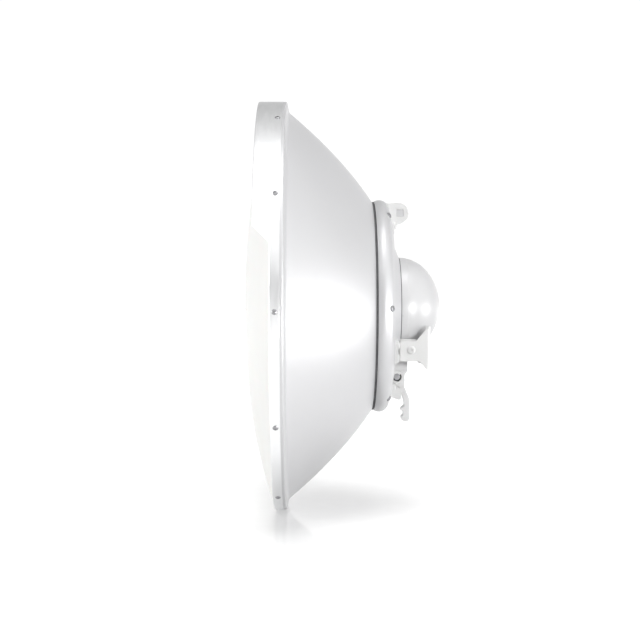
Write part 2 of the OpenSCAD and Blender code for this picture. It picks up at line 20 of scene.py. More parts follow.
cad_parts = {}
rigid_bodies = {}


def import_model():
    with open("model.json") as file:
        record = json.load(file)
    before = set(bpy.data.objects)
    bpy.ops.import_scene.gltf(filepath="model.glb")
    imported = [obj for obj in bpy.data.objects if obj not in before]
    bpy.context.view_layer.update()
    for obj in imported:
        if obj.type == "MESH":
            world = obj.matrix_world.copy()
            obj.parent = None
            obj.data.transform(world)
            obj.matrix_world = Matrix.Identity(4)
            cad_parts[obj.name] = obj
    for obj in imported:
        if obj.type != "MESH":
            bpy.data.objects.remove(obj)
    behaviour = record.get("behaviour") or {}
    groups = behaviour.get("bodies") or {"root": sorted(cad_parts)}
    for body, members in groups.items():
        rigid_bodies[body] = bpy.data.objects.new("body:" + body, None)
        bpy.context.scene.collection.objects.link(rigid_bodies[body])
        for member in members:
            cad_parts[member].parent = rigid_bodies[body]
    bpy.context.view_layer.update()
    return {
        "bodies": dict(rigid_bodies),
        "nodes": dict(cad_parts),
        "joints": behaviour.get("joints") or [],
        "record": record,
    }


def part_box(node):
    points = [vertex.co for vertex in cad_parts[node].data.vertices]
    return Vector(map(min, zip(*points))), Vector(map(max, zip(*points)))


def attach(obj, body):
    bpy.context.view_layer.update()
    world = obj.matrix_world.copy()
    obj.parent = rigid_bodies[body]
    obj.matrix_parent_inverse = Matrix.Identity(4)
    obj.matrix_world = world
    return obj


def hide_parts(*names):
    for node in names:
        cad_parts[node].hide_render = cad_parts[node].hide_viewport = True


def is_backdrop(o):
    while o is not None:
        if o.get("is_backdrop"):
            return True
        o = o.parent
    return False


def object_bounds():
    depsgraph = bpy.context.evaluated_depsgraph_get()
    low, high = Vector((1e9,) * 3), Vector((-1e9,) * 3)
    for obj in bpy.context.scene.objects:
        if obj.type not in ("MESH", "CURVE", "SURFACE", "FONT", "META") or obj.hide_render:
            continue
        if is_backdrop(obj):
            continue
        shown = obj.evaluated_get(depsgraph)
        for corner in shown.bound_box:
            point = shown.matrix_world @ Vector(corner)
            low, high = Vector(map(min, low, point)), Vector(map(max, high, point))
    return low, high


LOG = logging.getLogger("wireless_bridge")
MM = 0.001
CREASE = math.radians(32.0)  # edges sharper than this stay sharp
MERGE = 2e-6  # corners closer than this are one
BACKWARD = Vector((1.0, 0.0, 0.0))
DOWNWARD = Vector((0.0, 0.0, -1.0))
Z_TO_X = Matrix(((0, 0, 1, 0), (1, 0, 0, 0), (0, 1, 0, 0), (0, 0, 0, 1)))

Point = tuple[float, float]
Corner = tuple[float, float, float]
Colour = tuple[float, float, float]


class Side(Enum):
    """Which flank of the object a piece is on, by the sign of its Y."""

    NEAR = -1
    FAR = 1


class Change(Enum):
    """What a tool does to the piece it meets."""

    ADD = "UNION"
    CUT = "DIFFERENCE"


# ------------------------------------------------------------------ outlines


def arc(centre: Point, radius: float, start: float, end: float, steps: int = 8) -> list[Point]:
    """Points along an arc.

    Args:
        centre: The arc's centre.
        radius: Its radius.
        start: First angle, in degrees.
        end: Last angle, in degrees.
        steps: How many chords it is made of.

    Returns:
        The points, both ends included.
    """
    angles = [math.radians(start + (end - start) * i / steps) for i in range(steps + 1)]
    return [(centre[0] + radius * math.cos(a), centre[1] + radius * math.sin(a)) for a in angles]


def fillet(before: Point, at: Point, after: Point, radius: float, steps: int = 6) -> list[Point]:
    """Rounds one corner of an outline.

    Args:
        before: The point ahead of the corner.
        at: The corner.
        after: The point past the corner.
        radius: The radius of the rounding.
        steps: How many chords it is made of.

    Returns:
        The points that take the corner's place.
    """
    a, b, c = Vector(before), Vector(at), Vector(after)
    u, v = (a - b).normalized(), (c - b).normalized()
    half = u.angle(v) / 2
    if radius <= 0 or half > math.radians(89.5):
        return [at]
    reach = min(radius / math.tan(half), 0.49 * (a - b).length, 0.49 * (c - b).length)
    radius = reach * math.tan(half)
    centre = b + (u + v).normalized() * (radius / math.sin(half))
    first, last = b + u * reach - centre, b + v * reach - centre
    start = math.atan2(first.y, first.x)
    turn = math.atan2(first.x * last.y - first.y * last.x, first.dot(last))
    angles = [start + turn * i / steps for i in range(steps + 1)]
    return [(centre.x + radius * math.cos(a), centre.y + radius * math.sin(a)) for a in angles]


def rounded(corners: Sequence[Corner], steps: int = 6) -> list[Point]:
    """Closed outline whose corners are rounded, each by its own radius.

    Args:
        corners: (u, v, radius) of each corner.
        steps: How many chords each rounding is made of.

    Returns:
        The outline's points.
    """
    flat = [(c[0], c[1]) for c in corners]
    out: list[Point] = []
    for i, (u, v, radius) in enumerate(corners):
        out += fillet(flat[i - 1], (u, v), flat[(i + 1) % len(flat)], radius, steps)
    return out


def sheet_outline(path: Sequence[Point], wall: float) -> list[Point]:
    """Closed outline of a bent sheet.

    Args:
        path: The sheet's outer surface, from one edge to the other.
        wall: Its thickness, laid to the right of the path.

    Returns:
        The outline: the path, and the path back along the inner surface.
    """
    inner: list[Point] = []
    for i, at in enumerate(path):
        ahead = Vector(path[min(i + 1, len(path) - 1)]) - Vector(path[max(i - 1, 0)])
        normal = Vector((ahead.y, -ahead.x)).normalized()
        inner.append((at[0] + normal.x * wall, at[1] + normal.y * wall))
    return list(path) + inner[::-1]


# ------------------------------------------------------------------ meshes


def smooth(thing: bpy.types.Object) -> None:
    """Shades an object smooth and keeps its sharp edges sharp."""
    thing.data.shade_smooth()
    thing.data.set_sharp_from_angle(angle=CREASE)


def to_object(name: str, shape: bmesh.types.BMesh, outward: bool = True) -> bpy.types.Object:
    """Turns a bmesh into an object.

    Args:
        name: The object's name.
        shape: The bmesh, which is freed.
        outward: Whether its faces are turned outward first.

    Returns:
        The new object, linked to the scene.
    """
    if outward:
        bmesh.ops.recalc_face_normals(shape, faces=shape.faces[:])
    mesh = bpy.data.meshes.new(name)
    shape.to_mesh(mesh)
    shape.free()
    thing = bpy.data.objects.new(name, mesh)
    bpy.context.scene.collection.objects.link(thing)
    smooth(thing)
    return thing


def bake(thing: bpy.types.Object) -> None:
    """Applies all of an object's modifiers."""
    evaluated = thing.evaluated_get(bpy.context.evaluated_depsgraph_get())
    mesh = bpy.data.meshes.new_from_object(evaluated)
    thing.modifiers.clear()
    thing.data = mesh


def soften(thing: bpy.types.Object, width: float, above: float = 35.0) -> None:
    """Rounds an object's edges.

    Args:
        thing: The object.
        width: How wide the rounding is.
        above: Only edges sharper than this many degrees are rounded.
    """
    bevel = thing.modifiers.new("soften", "BEVEL")
    bevel.width = width
    bevel.segments = 3
    bevel.limit_method = "ANGLE"
    bevel.angle_limit = math.radians(above)
    bevel.use_clamp_overlap = True
    bevel.harden_normals = False
    bake(thing)
    smooth(thing)
    weigh = thing.modifiers.new("weigh", "WEIGHTED_NORMAL")
    weigh.keep_sharp = True
    weigh.weight = 60
    bake(thing)


def combine(thing: bpy.types.Object, tool: bpy.types.Object, how: Change) -> None:
    """Adds a tool to an object or cuts it away, and deletes the tool.

    Args:
        thing: The object that is changed.
        tool: The object that is added or cut away.
        how: Which of the two.
    """
    change = thing.modifiers.new("combine", "BOOLEAN")
    change.operation = how.value
    change.solver = "EXACT"
    change.object = tool
    bake(thing)
    smooth(thing)
    discard(tool)


def discard(thing: bpy.types.Object) -> None:
    """Deletes an object and its mesh."""
    mesh = thing.data
    bpy.data.objects.remove(thing)
    bpy.data.meshes.remove(mesh)


def join(name: str, things: Sequence[bpy.types.Object]) -> bpy.types.Object:
    """Joins objects into one.

    Args:
        name: The new object's name.
        things: The objects, which are deleted.

    Returns:
        The object that holds them all.
    """
    shape = bmesh.new()
    for thing in things:
        part = thing.data.copy()
        part.transform(thing.matrix_world)
        shape.from_mesh(part)
        bpy.data.meshes.remove(part)
        discard(thing)
    return to_object(name, shape, outward=False)


def lathe(name: str, outline: Sequence[Point], place: Matrix, sides: int = 96) -> bpy.types.Object:
    """Turns a closed outline about an axis.

    Args:
        name: The object's name.
        outline: Points (radius, distance along the axis). A radius of zero lies on the axis.
        place: Takes the local X axis to the axis of turning.
        sides: How many steps the turn has.

    Returns:
        The turned object.
    """
    shape = bmesh.new()
    rings: list[list[bmesh.types.BMVert]] = []
    turn = [2 * math.pi * i / sides for i in range(sides)]
    for radius, along in outline:
        if radius < 1e-7:
            rings.append([shape.verts.new((along, 0.0, 0.0))] * sides)
            continue
        rings.append([shape.verts.new((along, radius * math.sin(a), radius * math.cos(a))) for a in turn])
    for first, second in zip(rings, rings[1:] + rings[:1]):
        for i in range(sides):
            j = (i + 1) % sides
            loop = list(dict.fromkeys((first[i], first[j], second[j], second[i])))
            if len(loop) > 2:
                shape.faces.new(loop)
    shape.transform(place)
    return to_object(name, shape)


def prism(name: str, outline: Sequence[Point], low: float, high: float, place: Matrix) -> bpy.types.Object:
    """Pushes an outline along an axis.

    Args:
        name: The object's name.
        outline: Points in the local XY plane.
        low: Where the prism starts, along local Z.
        high: Where it ends.
        place: Takes the local frame to the part's frame.

    Returns:
        The prism.
    """
    shape = bmesh.new()
    ends = [[shape.verts.new((u, v, w)) for u, v in outline] for w in (low, high)]
    for end in ends:
        shape.faces.new(end)
    for i in range(len(outline)):
        j = (i + 1) % len(outline)
        shape.faces.new((ends[0][i], ends[0][j], ends[1][j], ends[1][i]))
    shape.transform(place)
    return to_object(name, shape)


def block(name: str, low: Sequence[float], high: Sequence[float], edge: float = 0.0) -> bpy.types.Object:
    """Box between two corners, with rounded edges if edge is above zero."""
    outline = [(low[0], low[1]), (high[0], low[1]), (high[0], high[1]), (low[0], high[1])]
    box = prism(name, outline, low[2], high[2], Matrix.Identity(4))
    if edge > 0:
        soften(box, edge)
    return box


def wire(name: str, points: Sequence[Vector], radius: float, sides: int = 12) -> bpy.types.Object:
    """Round wire along a run of points.

    Args:
        name: The object's name.
        points: The wire's centre line.
        radius: The wire's radius.
        sides: How many sides its section has.

    Returns:
        The wire as a closed mesh.
    """
    shape = bmesh.new()
    rings = []
    turn = [2 * math.pi * k / sides for k in range(sides)]
    side = Vector((0.0, 1.0, 0.0))
    for i, at in enumerate(points):
        ahead = (points[min(i + 1, len(points) - 1)] - points[max(i - 1, 0)]).normalized()
        side = (side - ahead * side.dot(ahead)).normalized()
        up = ahead.cross(side)
        rings.append([shape.verts.new(at + (side * math.cos(a) + up * math.sin(a)) * radius) for a in turn])
    for first, second in zip(rings, rings[1:]):
        for k in range(sides):
            m = (k + 1) % sides
            shape.faces.new((first[k], first[m], second[m], second[k]))
    shape.faces.new(rings[0])
    shape.faces.new(rings[-1])
    return to_object(name, shape)


def facing(origin: Vector, normal: Vector) -> Matrix:
    """Matrix that puts the local origin at origin and the local X axis along normal."""
    turn = BACKWARD.rotation_difference(normal.normalized())
    return Matrix.Translation(origin) @ turn.to_matrix().to_4x4()


def middle_of(points: Sequence[Vector]) -> Vector:
    """Mean of some points."""
    return sum(points, Vector()) / len(points)


# ------------------------------------------------------------------ finishes


class Nodes:
    """Node tree, with short ways to add and link its nodes."""

    def __init__(self, tree: bpy.types.NodeTree) -> None:
        """Takes hold of a tree."""
        self.tree = tree

    def add(
        self, kind: str, inputs: dict[str | int, object] | None = None, **settings: object
    ) -> bpy.types.Node:
        """Adds a node.

        Args:
            kind: The node's type, without its ShaderNode prefix.
            inputs: Values or output sockets for its inputs, by name or number.
            **settings: The node's own properties.

        Returns:
            The node.
        """
        node = self.tree.nodes.new("ShaderNode" + kind)
        for key, value in settings.items():
            setattr(node, key, value)
        for key, value in (inputs or {}).items():
            self.feed(node.inputs[key], value)
        return node

    def feed(self, socket: bpy.types.NodeSocket, value: object) -> None:
        """Links an output to an input, or sets the input's own value."""
        if isinstance(value, bpy.types.NodeSocket):
            self.tree.links.new(value, socket)
        else:
            socket.default_value = value


class Shader(Nodes):
    """Node tree of one material."""

    def __init__(self, name: str) -> None:
        """Starts a material with only its surface shader and its output."""
        self.material = bpy.data.materials.new(name)
        self.material.use_nodes = True
        super().__init__(self.material.node_tree)
        self.surface = next(n for n in self.tree.nodes if n.type == "BSDF_PRINCIPLED")

    def place(self) -> bpy.types.NodeSocket:
        """Position in the part's frame, in metres."""
        return self.add("TexCoord").outputs["Object"]

    def noise(
        self, scale: float, detail: float = 2.0, at: bpy.types.NodeSocket | None = None
    ) -> bpy.types.NodeSocket:
        """Noise of about scale grains to the metre."""
        inputs = {"Vector": at or self.place(), "Scale": scale, "Detail": detail, "Roughness": 0.55}
        return self.add("TexNoise", inputs).outputs["Fac"]

    def between(self, value: bpy.types.NodeSocket, low: float, high: float) -> bpy.types.NodeSocket:
        """Spreads a noise over a range of values."""
        inputs = {"Value": value, "From Min": 0.3, "From Max": 0.7, "To Min": low, "To Max": high}
        return self.add("MapRange", inputs).outputs["Result"]

    def blend(self, value: bpy.types.NodeSocket, low: Colour, high: Colour) -> bpy.types.NodeSocket:
        """Colour that goes from low to high as a noise rises."""
        ramp = self.add("ValToRGB", {"Fac": value})
        ends = ramp.color_ramp.elements
        ends[0].position, ends[0].color = 0.3, (*low, 1.0)
        ends[1].position, ends[1].color = 0.7, (*high, 1.0)
        return ramp.outputs["Color"]

    def bump(self, heights: Sequence[tuple[bpy.types.NodeSocket, float]]) -> bpy.types.NodeSocket:
        """Normal of a surface with small relief.

        Args:
            heights: Pairs of a noise and its relief in metres, the broadest first.

        Returns:
            The normal.
        """
        normal: object = None
        for height, relief in heights:
            inputs = {"Height": height, "Distance": relief, "Strength": 1.0}
            if normal is not None:
                inputs["Normal"] = normal
            normal = self.add("Bump", inputs).outputs["Normal"]
        return normal

    def set(self, **sockets: object) -> None:
        """Feeds the surface shader's sockets; underscores in names stand for spaces."""
        for key, value in sockets.items():
            self.feed(self.surface.inputs[key.replace("_", " ")], value)


def shade(colour: Colour, by: float) -> Colour:
    """A colour made lighter or darker by a factor."""
    return tuple(min(1.0, c * by) for c in colour)


@dataclass(frozen=True)
class PowderCoat:
    """Baked paint with a fine orange peel and a little metal flake."""

    name: str
    colour: Colour
    roughness: float = 0.42
    peel: float = 14e-6
    flake: float = 0.0
    gloss: float = 0.1

    def material(self) -> bpy.types.Material:
        """Builds the paint."""
        s = Shader(self.name)
        broad, fine, speck = s.noise(9), s.noise(900, 3), s.noise(3600, 1)
        s.set(
            Base_Color=s.blend(broad, shade(self.colour, 0.985), shade(self.colour, 1.015)),
            Roughness=s.between(speck, self.roughness - 0.05, self.roughness + 0.05),
            Metallic=self.flake,
            Normal=s.bump([(s.noise(60), self.peel * 3), (fine, self.peel)]),
            Coat_Weight=self.gloss,
            Coat_Roughness=0.25,
        )
        return s.material


@dataclass(frozen=True)
class RolledAluminium:
    """Bare rolled strip, with grain that runs round the dish's axis."""

    name: str
    colour: Colour
    axis_height: float
    roughness: float = 0.34

    def material(self) -> bpy.types.Material:
        """Builds the metal."""
        s = Shader(self.name)
        where = s.add("SeparateXYZ", {"Vector": s.place()}).outputs
        up = s.add("Math", {0: where["Z"], 1: self.axis_height}, operation="SUBTRACT").outputs[0]
        turn = s.add("Math", {0: where["Y"], 1: up}, operation="ARCTAN2").outputs[0]
        across = s.add("Math", {0: where["X"], 1: 1600.0}, operation="MULTIPLY").outputs[0]
        along = s.add("Math", {0: turn, 1: 7.0}, operation="MULTIPLY").outputs[0]
        grain_at = s.add("CombineXYZ", {"X": across, "Y": along}).outputs[0]
        grain = s.noise(1.0, 3, grain_at)
        stain = s.noise(14, 4)
        s.set(
            Base_Color=s.blend(stain, shade(self.colour, 0.965), shade(self.colour, 1.02)),
            Metallic=1.0,
            Roughness=s.between(grain, self.roughness - 0.06, self.roughness + 0.09),
            Normal=s.bump([(stain, 30e-6), (grain, 3e-6)]),
        )
        return s.material


@dataclass(frozen=True)
class MouldedPlastic:
    """Moulded plastic with a fine eroded grain."""

    name: str
    colour: Colour
    roughness: float = 0.5
    grain: float = 9e-6
    depth: float = 0.0
    gloss: float = 0.0

    def material(self) -> bpy.types.Material:
        """Builds the plastic."""
        s = Shader(self.name)
        flow, grain = s.noise(16), s.noise(2600, 2)
        s.set(
            Base_Color=s.blend(flow, shade(self.colour, 0.985), shade(self.colour, 1.01)),
            Roughness=s.between(grain, self.roughness - 0.06, self.roughness + 0.06),
            Normal=s.bump([(s.noise(28), 40e-6), (grain, self.grain)]),
            Subsurface_Weight=self.depth,
            Subsurface_Scale=0.002,
            Coat_Weight=self.gloss,
            Coat_Roughness=0.3,
        )
        return s.material


@dataclass(frozen=True)
class PlatedSteel:
    """Plated or stainless steel, turned or drawn, with light handling marks."""

    name: str
    colour: Colour
    roughness: float = 0.3

    def material(self) -> bpy.types.Material:
        """Builds the metal."""
        s = Shader(self.name)
        stretched = s.add("Mapping", {"Vector": s.place(), "Scale": (1.0, 6.0, 6.0)}).outputs[0]
        marks, mottle = s.noise(700, 3, stretched), s.noise(220, 4)
        s.set(
            Base_Color=s.blend(mottle, shade(self.colour, 0.86), shade(self.colour, 1.06)),
            Metallic=1.0,
            Roughness=s.between(marks, self.roughness - 0.08, self.roughness + 0.12),
            Normal=s.bump([(marks, 8e-6)]),
        )
        return s.material


@dataclass(frozen=True)
class Rubber:
    """Dull moulded rubber with a dusty bloom."""

    name: str
    colour: Colour

    def material(self) -> bpy.types.Material:
        """Builds the rubber."""
        s = Shader(self.name)
        bloom, pores = s.noise(120, 4), s.noise(1800, 2)
        s.set(
            Base_Color=s.blend(bloom, self.colour, shade(self.colour, 1.7)),
            Roughness=s.between(pores, 0.72, 0.9),
            Normal=s.bump([(pores, 20e-6)]),
        )
        return s.material


@dataclass(frozen=True)
class CircuitBoard:
    """Green solder mask over rows of copper tracks."""

    name: str
    mask: Colour
    copper: Colour

    def material(self) -> bpy.types.Material:
        """Builds the board."""
        s = Shader(self.name)
        where = s.add("SeparateXYZ", {"Vector": s.place()}).outputs
        flat = s.add("CombineXYZ", {"X": where["Y"], "Y": where["Z"]}).outputs[0]
        inputs = {"Vector": flat, "Scale": 160.0, "Mortar Size": 0.03, "Brick Width": 1.3, "Row Height": 0.3}
        tracks = s.add("TexBrick", inputs).outputs["Fac"]
        s.set(
            Base_Color=s.blend(tracks, self.mask, self.copper),
            Roughness=s.between(s.noise(900), 0.2, 0.34),
            Normal=s.bump([(tracks, 25e-6)]),
        )
        return s.material


@dataclass(frozen=True)
class LightPipe:
    """Clear plastic that carries the light of a status lamp."""

    name: str
    colour: Colour

    def material(self) -> bpy.types.Material:
        """Builds the clear plastic."""
        s = Shader(self.name)
        s.set(
            Base_Color=s.blend(s.noise(500), self.colour, shade(self.colour, 1.05)),
            Roughness=s.between(s.noise(1500), 0.08, 0.2),
            Transmission_Weight=0.7,
            IOR=1.5,
        )
        return s.material


class Slot(Enum):
    """Finish of each material slot in the record."""

    POWDER_COATED_ALUMINIUM = "powder_coated_aluminium"
    BARE_ALUMINIUM = "bare_aluminium"
    COVER_PLASTIC = "cover_plastic"
    HOUSING_PLASTIC = "housing_plastic"
    WHITE_STEEL = "white_steel"
    WHITE_PLASTIC = "white_plastic"
    STAINLESS_STEEL = "stainless_steel"
    BLACK_STEEL = "black_steel"
    BLACK_RUBBER = "black_rubber"
    BLACK_PLASTIC = "black_plastic"
    CIRCUIT_BOARD = "circuit_board"
    DIELECTRIC = "dielectric"
    LIGHT_PIPE = "light_pipe"


def finishes(axis_height: float) -> dict[Slot, bpy.types.Material]:
    """Builds the material of every slot.

    Args:
        axis_height: Height of the dish's axis, which the rolled grain runs round.

    Returns:
        The material of each slot.
    """
    recipes = {
        Slot.POWDER_COATED_ALUMINIUM: PowderCoat("dish_powder_coat", (0.62, 0.62, 0.63), 0.42, flake=0.35),
        Slot.BARE_ALUMINIUM: RolledAluminium("rolled_aluminium", (0.80, 0.805, 0.81), axis_height),
        Slot.COVER_PLASTIC: MouldedPlastic("cover_plastic", (0.87, 0.87, 0.85), 0.45, depth=0.05),
        Slot.HOUSING_PLASTIC: MouldedPlastic("housing_plastic", (0.62, 0.62, 0.627), 0.36, gloss=0.8),
        Slot.WHITE_STEEL: PowderCoat("bracket_powder_coat", (0.72, 0.72, 0.715), 0.38, peel=18e-6),
        Slot.WHITE_PLASTIC: MouldedPlastic("lever_plastic", (0.76, 0.76, 0.76), 0.42),
        Slot.STAINLESS_STEEL: PlatedSteel("stainless_steel", (0.34, 0.34, 0.35), 0.38),
        Slot.BLACK_STEEL: PowderCoat("black_oxide", (0.03, 0.03, 0.032), 0.5, flake=0.4, gloss=0.0),
        # Rubber of the gaskets; on the ring's bead its dark colour is also a painted shadow in the gap
        # between ring and dish.
        Slot.BLACK_RUBBER: Rubber("gasket_rubber", (0.07, 0.07, 0.073)),
        Slot.BLACK_PLASTIC: MouldedPlastic("black_plastic", (0.03, 0.03, 0.033), 0.45),
        Slot.CIRCUIT_BOARD: CircuitBoard("circuit_board", (0.012, 0.09, 0.035), (0.03, 0.17, 0.06)),
        Slot.DIELECTRIC: MouldedPlastic("dielectric", (0.87, 0.87, 0.85), 0.55, depth=0.1),
        Slot.LIGHT_PIPE: LightPipe("light_pipe", (0.85, 0.92, 0.94)),
    }
    return {slot: recipe.material() for slot, recipe in recipes.items()}


# ------------------------------------------------------------------ the workshop


@dataclass
class Workshop:
    """Knows the frame and puts finished pieces into it.

    Attributes:
    """

    frame: dict
    materials: dict[Slot, bpy.types.Material] = field(init=False)
    made: list[str] = field(default_factory=list)

    def __post_init__(self) -> None:
        """Reads the slot and body of each node, and builds the finishes."""
        record = self.frame["record"]
        self.slots = {s["node"]: s["material_slot"] for s in record["subparts"]}
        self.bodies = {node: body for body, nodes in record["behaviour"]["bodies"].items() for node in nodes}
        self.materials = finishes(self.axis_height)

    @property
    def axis_height(self) -> float:
        """Height of the dish's axis."""
        low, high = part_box("reflector_dish")
        return (low[2] + high[2]) / 2

    def radial(self, at: Vector) -> Vector:
        """Way out from the dish's axis at a point."""
        return Vector((0.0, at.y, at.z - self.axis_height)).normalized()

    @property
    def axis(self) -> Matrix:
        """Takes the local X axis to the dish's axis."""
        return Matrix.Translation((0.0, 0.0, self.axis_height))

    def fit(self, piece: bpy.types.Object, *nodes: str) -> bpy.types.Object:
        """Puts a piece in place of CAD nodes: same body, slot and finish as the first of them."""
        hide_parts(*nodes)
        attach(piece, self.bodies[nodes[0]])
        self.dress(piece, nodes[0])
        return piece

    def add(self, piece: bpy.types.Object, beside: str) -> bpy.types.Object:
        """Adds a piece that has no CAD node of its own, with the body and finish of its neighbour."""
        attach(piece, self.bodies[beside])
        self.dress(piece, beside)
        return piece

    def dress(self, piece: bpy.types.Object, node: str, slot: Slot | None = None) -> None:
        """Gives a piece the slot and the finish of a node, or those of another slot."""
        chosen = slot or Slot(self.slots[node])
        piece.data.materials.clear()
        piece.data.materials.append(self.materials[chosen])
        self.made.append(piece.name)
        LOG.info("%s: %s, with %s", piece.name, chosen.value, self.bodies[node])

    def keep(self, node: str) -> None:
        """Keeps a CAD node's own shape and gives it its finish."""
        thing = self.frame["nodes"][node]
        material = self.materials[Slot(self.slots[node])]
        if not thing.material_slots:
            thing.data.materials.append(material)
        for place in thing.material_slots:
            place.material = material
        LOG.info("%s: kept, %s", node, self.slots[node])

    def copy_mesh(self, node: str) -> bmesh.types.BMesh:
        """Copy of a CAD node's mesh in the part's frame, with its doubled corners merged."""
        source = self.frame["nodes"][node]
        shape = bmesh.new()
        shape.from_mesh(source.data)
        shape.transform(source.matrix_world)
        bmesh.ops.remove_doubles(shape, verts=shape.verts[:], dist=MERGE)
        return shape

    def refine(self, node: str, edge: float) -> bpy.types.Object:
        """Copies a CAD node with clean faces and edges rounded to a width, in place of the node."""
        shape = self.copy_mesh(node)
        flat = math.radians(0.8)
        bmesh.ops.dissolve_limit(
            shape, angle_limit=flat, verts=shape.verts[:], edges=shape.edges[:], delimit={"SHARP"}
        )
        piece = to_object(node + "_shell", shape)
        soften(piece, edge, above=38.0)
        return self.fit(piece, node)

    def solids(self, node: str) -> list[list[Vector]]:
        """The vertices of each separate solid of a node."""
        shape = self.copy_mesh(node)
        left, out = set(shape.verts), []
        for seed in shape.verts:
            if seed not in left:
                continue
            left.discard(seed)
            todo, seen = [seed], []
            while todo:
                vertex = todo.pop()
                seen.append(vertex.co.copy())
                for edge in vertex.link_edges:
                    other = edge.other_vert(vertex)
                    if other in left:
                        left.discard(other)
                        todo.append(other)
            out.append(seen)
        shape.free()
        return out


# ------------------------------------------------------------------ fasteners


class Recess(Enum):
    """Shape of the drive in a screw's head, by its number of sides."""

    HEX = 6
    ROUND = 24


@dataclass(frozen=True)
class Screw:
    """Domed screw or rivet head on a plain shank.

    Attributes:
        head_radius: Radius of the head.
        head_height: Height of the head.
        shank_radius: Radius of the shank.
        recess_radius: Radius of the drive recess.
        recess_depth: Depth of the recess.
        recess: Shape of the recess.
        thread_pitch: Distance between thread crests, or zero for a plain shank.
    """

    head_radius: float
    head_height: float
    shank_radius: float
    recess_radius: float
    recess_depth: float
    recess: Recess = Recess.HEX
    thread_pitch: float = 0.0

    def shank_outline(self, length: float) -> list[Point]:
        """Outline of the shank from its tip to the head, with thread crests."""
        points: list[Point] = [(0.0, -length), (self.shank_radius * 0.8, -length)]
        start = -length + self.shank_radius * 0.3
        if self.thread_pitch <= 0:
            return points + [(self.shank_radius, start), (self.shank_radius, 0.0)]
        count = int(-start / self.thread_pitch)
        for i in range(count):
            at = start + i * self.thread_pitch
            points += [(self.shank_radius * 0.86, at), (self.shank_radius, at + self.thread_pitch / 2)]
        return points + [(self.shank_radius * 0.9, 0.0)]

    def make(self, name: str, length: float, place: Matrix) -> bpy.types.Object:
        """Builds one screw whose head sits on the local YZ plane.

        Args:
            name: The object's name.
            length: Length of the shank.
            place: Takes the local frame, with X out of the head, to the part's frame.

        Returns:
            The screw.
        """
        r, h = self.head_radius, self.head_height
        rim_top, crown_radius = h * 0.25, r * 1.9
        crown = arc((0.0, h - crown_radius), crown_radius, 61, 90)
        dome = [(x, max(y, rim_top)) for x, y in crown]
        rim = [(r - 0.1 * MM, 0.0), (r, 0.1 * MM), (r, rim_top)]
        outline = self.shank_outline(length) + rim + [p for p in dome if p[0] < r * 0.97]
        outline[-1] = (0.0, outline[-1][1])
        screw = lathe(name, outline, Matrix.Identity(4), 40)
        drive = arc((0.0, 0.0), self.recess_radius, 0, 360, self.recess.value)[:-1]
        tool = prism("drive", drive, h - self.recess_depth, h + 1 * MM, Z_TO_X)
        combine(screw, tool, Change.CUT)
        screw.data.transform(place)
        return screw


def m5_screw(head_radius: float) -> Screw:
    """Domed M5 screw with a hex recess."""
    return Screw(head_radius, 2.6 * MM, 2.5 * MM, 2.1 * MM, 1.5 * MM, thread_pitch=0.8 * MM)


def backward(at: Vector) -> Vector:
    """Way out of a head on the ring's flat face, wherever it is."""
    return BACKWARD


@dataclass(frozen=True)
class FastenerSet:
    """A group of like fasteners that stands for one CAD node.

    Attributes:
        node: The CAD node.
        screw: The shape of each fastener.
        outward: Gives the direction out of the head from a fastener's middle.
    """

    node: str
    screw: Screw
    outward: Callable[[Vector], Vector]

    def build(self, shop: Workshop) -> bpy.types.Object:
        """Puts a fastener where each solid of the node is."""
        things = []
        for i, points in enumerate(shop.solids(self.node)):
            middle = middle_of(points)
            out = self.outward(middle).normalized()
            reach = [p.dot(out) for p in points]
            seat = max(reach) - self.screw.head_height
            root = middle + out * (seat - middle.dot(out))
            things.append(self.screw.make(f"{self.node}_{i}", seat - min(reach), facing(root, out)))
        return shop.fit(join(self.node + "_set", things), self.node)


# ------------------------------------------------------------------ the reflector


